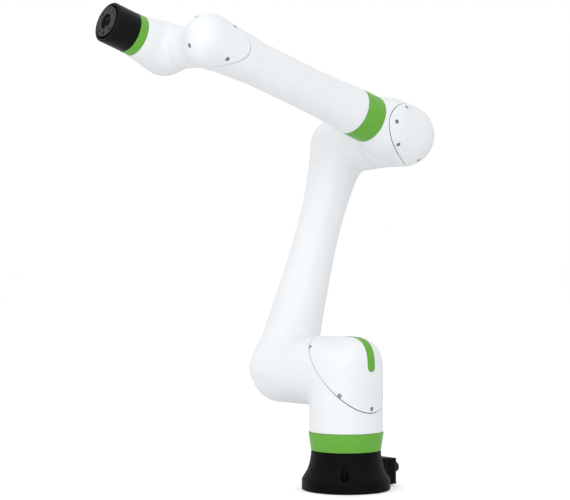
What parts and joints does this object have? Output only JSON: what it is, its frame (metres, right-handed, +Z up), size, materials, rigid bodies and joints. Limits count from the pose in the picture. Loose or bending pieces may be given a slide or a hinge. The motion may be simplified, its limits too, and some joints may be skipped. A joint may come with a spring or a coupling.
{
  "type": "collaborative robot arm",
  "caption": "Jointed robot arm on a round black base: white rounded links with green rings at the joints, an offset wrist and a round tool flange.",
  "frame": {"origin": "middle of the base's underside on the first axis, which is also the middle of the mounting bolts' circle", "axes": "+Z up along the first axis, +X towards the tool at rest, +Y away from the upper arm, which stands at the -Y side of the column"},
  "size_m": [0.7499, 0.3515, 0.9825],
  "materials": {
    "white_paint": "satin white paint on a light-alloy casting",
    "black_paint": "satin black paint on a casting",
    "black_plastic": "matt black moulded plastic",
    "black_anodised": "black anodised",
    "green_trim": "satin green moulded plastic",
    "screw_steel": "plated",
    "brass_fitting": "turned",
    "cable_jacket": "jacketed bundle",
    "gear_steel": "ground",
    "motor_case": "machined",
    "rotor_copper": "rotor with copper-coloured magnets sleeve"
  },
  "bodies": {
    "base": {"base_casting": "black_paint", "connector_box": "black_paint", "connector_plate": "black_anodised", "plate_screws": "screw_steel", "power_connector": "black_plastic", "signal_connector": "black_plastic", "air_fittings": "brass_fitting", "base_harness": "cable_jacket", "j1_output_hub": "gear_steel"},
    "shoulder": {"j1_trim_ring": "green_trim", "shoulder_housing": "white_paint", "shoulder_cover": "white_paint", "shoulder_cover_screws": "screw_steel", "accent_stripe": "green_trim", "j1_ring_gear": "gear_steel", "j1_motor": "motor_case", "j1_rotor": "rotor_copper", "j2_ring_gear": "gear_steel", "j2_motor": "motor_case", "j2_rotor": "rotor_copper"},
    "upper_arm": {"upper_arm": "white_paint", "lower_arm_cap": "white_paint", "upper_arm_cap": "white_paint", "arm_cap_screws": "screw_steel", "arm_harness": "cable_jacket", "j2_output_hub": "gear_steel", "j3_output_hub": "gear_steel"},
    "elbow": {"elbow_housing": "white_paint", "elbow_cover": "white_paint", "elbow_cover_screws": "screw_steel", "j4_trim_ring": "green_trim", "j3_ring_gear": "gear_steel", "j3_motor": "motor_case", "j3_rotor": "rotor_copper", "j4_ring_gear": "gear_steel", "j4_motor": "motor_case", "j4_rotor": "rotor_copper"},
    "forearm": {"forearm": "white_paint", "forearm_cover": "white_paint", "forearm_cover_screws": "screw_steel", "forearm_harness": "cable_jacket", "j4_output_hub": "gear_steel", "j5_ring_gear": "gear_steel", "j5_motor": "motor_case", "j5_rotor": "rotor_copper"},
    "wrist": {"wrist_housing": "white_paint", "wrist_cover": "white_paint", "wrist_cover_screws": "screw_steel", "j6_trim_ring": "green_trim", "tool_sleeve": "black_plastic", "sleeve_screws": "screw_steel", "j5_output_hub": "gear_steel", "j6_ring_gear": "gear_steel", "j6_motor": "motor_case", "j6_rotor": "rotor_copper"},
    "tool": {"tool_flange": "black_anodised", "flange_screws": "screw_steel", "j6_output_hub": "gear_steel"}
  },
  "joints": [
    {"name": "j1_turn", "type": "hinge", "parent": "base", "child": "shoulder", "pos_m": [0, 0, 0.082], "axis": [0, 0, 1], "range_deg": [-190, 190]},
    {"name": "j2_lean", "type": "hinge", "parent": "shoulder", "child": "upper_arm", "pos_m": [0, -0.09, 0.245], "axis": [0, 1, 0], "range_deg": [-131.6, 168.4]},
    {"name": "j3_fold", "type": "hinge", "parent": "upper_arm", "child": "elbow", "pos_m": [-0.17045, -0.0692, 0.75739], "axis": [0, -1, 0], "range_deg": [-68, 254]},
    {"name": "j4_roll", "type": "hinge", "parent": "elbow", "child": "forearm", "pos_m": [-0.01827, 0, 0.79988], "axis": [0.9632, 0, 0.2689], "range_deg": [-190, 190]},
    {"name": "j5_bend", "type": "hinge", "parent": "forearm", "child": "wrist", "pos_m": [0.34966, -0.0634, 0.90261], "axis": [0, 1, 0], "range_deg": [-180, 180]},
    {"name": "j6_spin", "type": "hinge", "parent": "wrist", "child": "tool", "pos_m": [0.49028, -0.15, 0.94187], "axis": [0.9632, 0, 0.2689], "range_deg": [-225, 225]}
  ]
}
